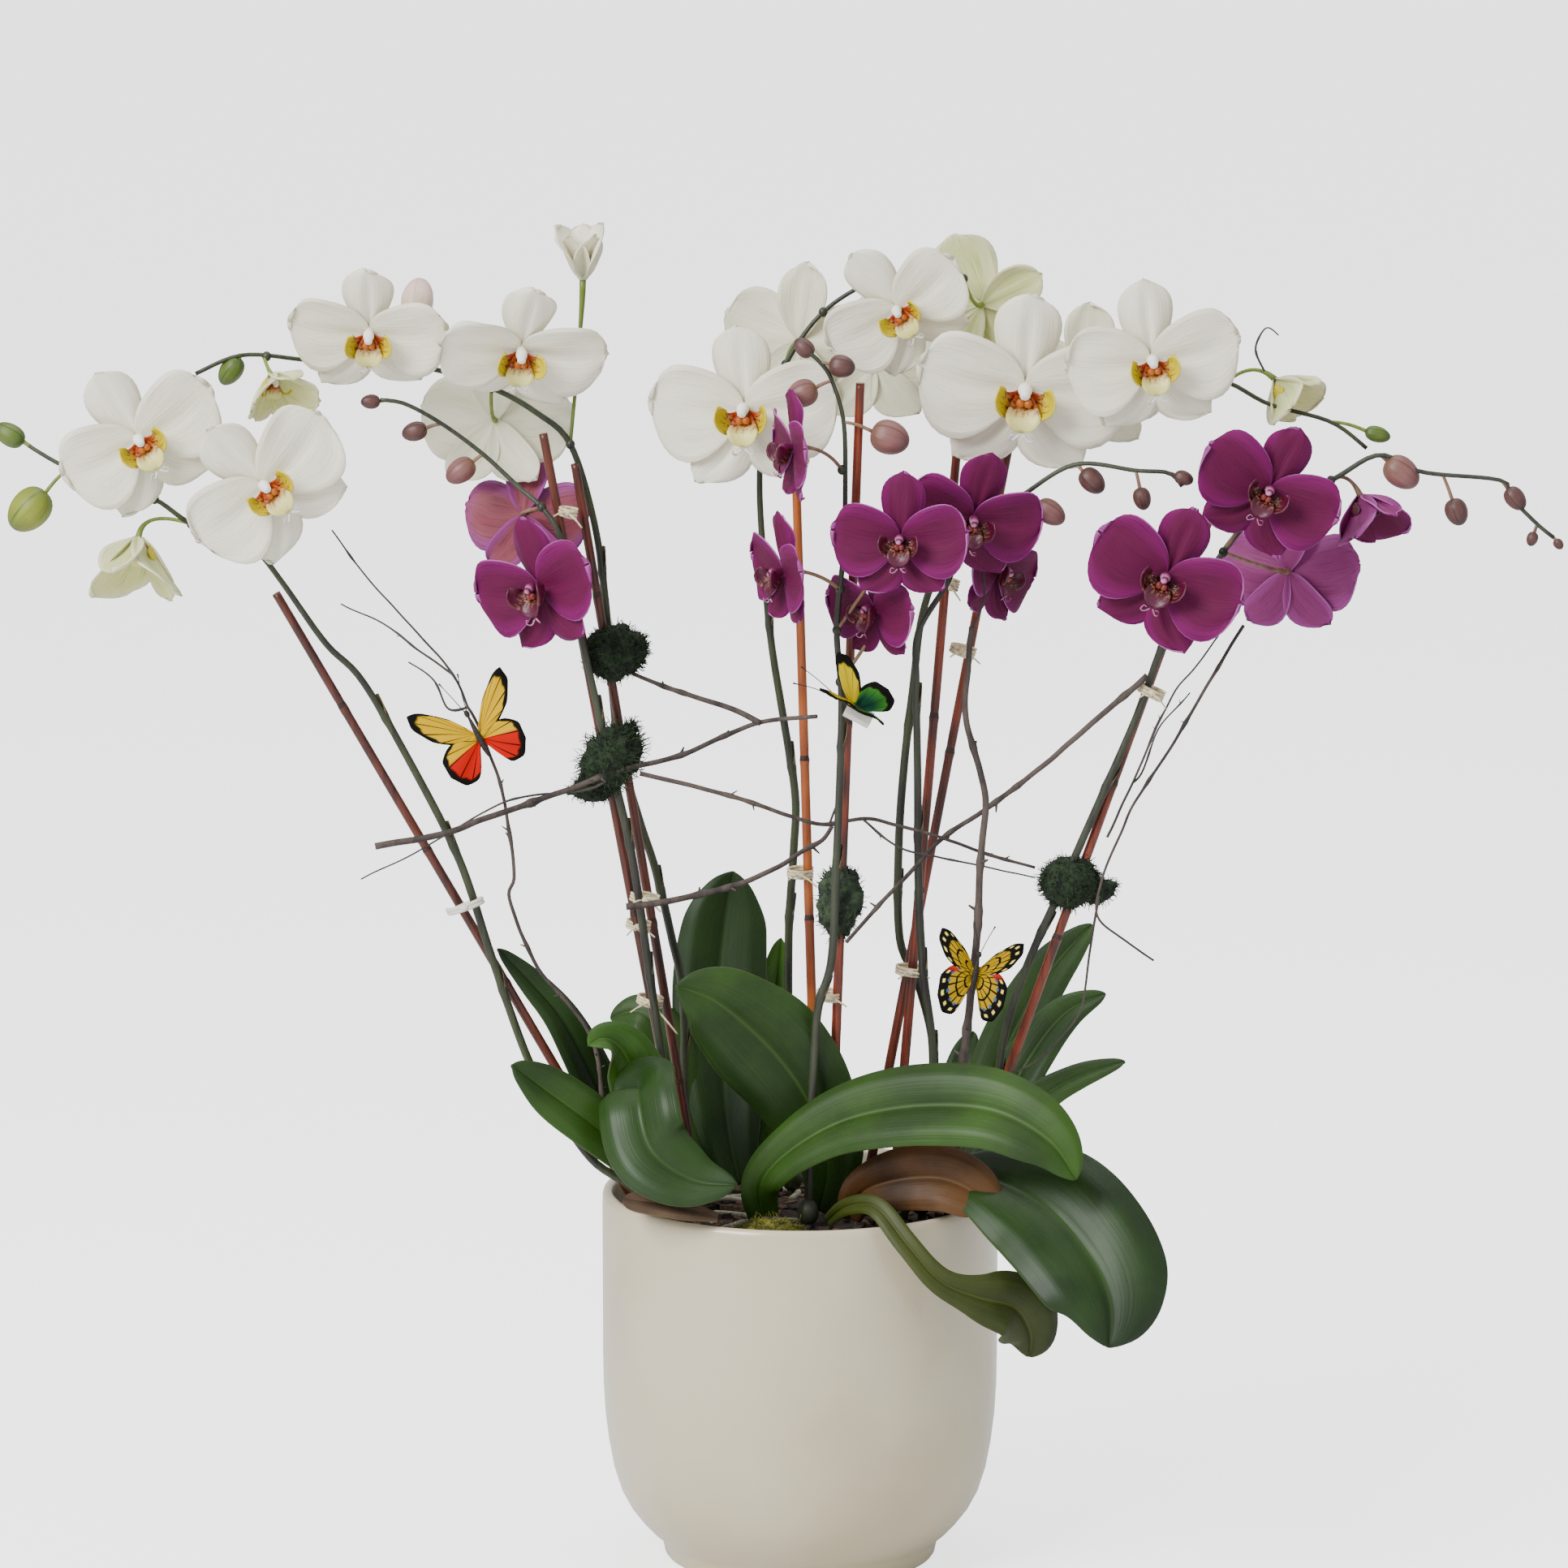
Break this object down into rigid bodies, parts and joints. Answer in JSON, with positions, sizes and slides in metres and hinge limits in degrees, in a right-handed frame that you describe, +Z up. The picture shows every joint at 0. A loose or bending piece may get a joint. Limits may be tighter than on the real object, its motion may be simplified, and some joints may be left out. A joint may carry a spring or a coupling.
{
  "type": "potted orchid",
  "caption": "Moth orchids in a round glazed pot: arching white and purple flower spikes on bamboo stakes, broad leaves, mossy twigs and paper butterflies.",
  "frame": {"origin": "centre of the flat underside of the pot, on the surface that it stands on", "axes": "+Z up along the pot's axis, +X to the viewer's right along the widest spread of the flower spikes, -Y towards the show side that the blooms face"},
  "size_m": [0.9497, 0.287, 0.8305],
  "materials": {
    "pot": "gloss",
    "potting_mix": "matte",
    "rim_moss": "matte",
    "flower_stem": "satin",
    "white_bloom": "satin",
    "purple_bloom": "satin",
    "leaf": "satin",
    "olive_leaf": "satin",
    "copper_leaf": "satin",
    "dry_leaf": "matte",
    "bamboo": "satin",
    "pale_bamboo": "satin",
    "twig_bark": "matte",
    "moss": "matte",
    "butterfly_wing": "matte",
    "raffia": "matte"
  },
  "bodies": {
    "root": {"bloom_purple_1": "purple_bloom", "bloom_purple_2": "purple_bloom", "bloom_purple_3": "purple_bloom", "bloom_purple_4": "purple_bloom", "bloom_purple_5": "purple_bloom", "bloom_white_1": "white_bloom", "bloom_white_2": "white_bloom", "bloom_white_3": "white_bloom", "bloom_white_4": "white_bloom", "bloom_white_5": "white_bloom", "bloom_white_6": "white_bloom", "bloom_white_7": "white_bloom", "bloom_white_8": "white_bloom", "butterfly_centre": "butterfly_wing", "butterfly_left": "butterfly_wing", "butterfly_right": "butterfly_wing", "leaf_back_tall": "leaf", "leaf_centre_broad": "leaf", "leaf_dry": "dry_leaf", "leaf_front_bright": "leaf", "leaf_front_right": "leaf", "leaf_left_back": "leaf", "leaf_left_front": "leaf", "leaf_left_light": "leaf", "leaf_left_low": "olive_leaf", "leaf_left_slim": "olive_leaf", "leaf_right_low": "leaf", "leaf_right_middle": "leaf", "leaf_right_tall": "leaf", "leaf_rim_twisted": "olive_leaf", "leaf_underside": "copper_leaf", "moss_tuft_middle": "moss", "moss_tuft_right": "moss", "moss_tuft_upper": "moss", "pot": "pot", "potting_mix": "potting_mix", "rim_moss": "rim_moss", "spike_purple_centre_left": "flower_stem", "spike_purple_centre_right": "flower_stem", "spike_purple_left": "flower_stem", "spike_purple_right": "flower_stem", "spike_white_centre_left": "flower_stem", "spike_white_centre_right": "flower_stem", "spike_white_left": "flower_stem", "spike_white_right": "flower_stem", "stake_1": "bamboo", "stake_2": "bamboo", "stake_3": "bamboo", "stake_4": "pale_bamboo", "stake_5": "bamboo", "stake_6": "bamboo", "stake_7": "bamboo", "stake_8": "bamboo", "twig_cross": "twig_bark", "twig_diagonal": "twig_bark", "twig_left": "twig_bark", "twig_low": "twig_bark", "twig_right": "twig_bark", "twig_tie": "twig_bark", "twig_upright": "twig_bark"}
  },
  "joints": []
}
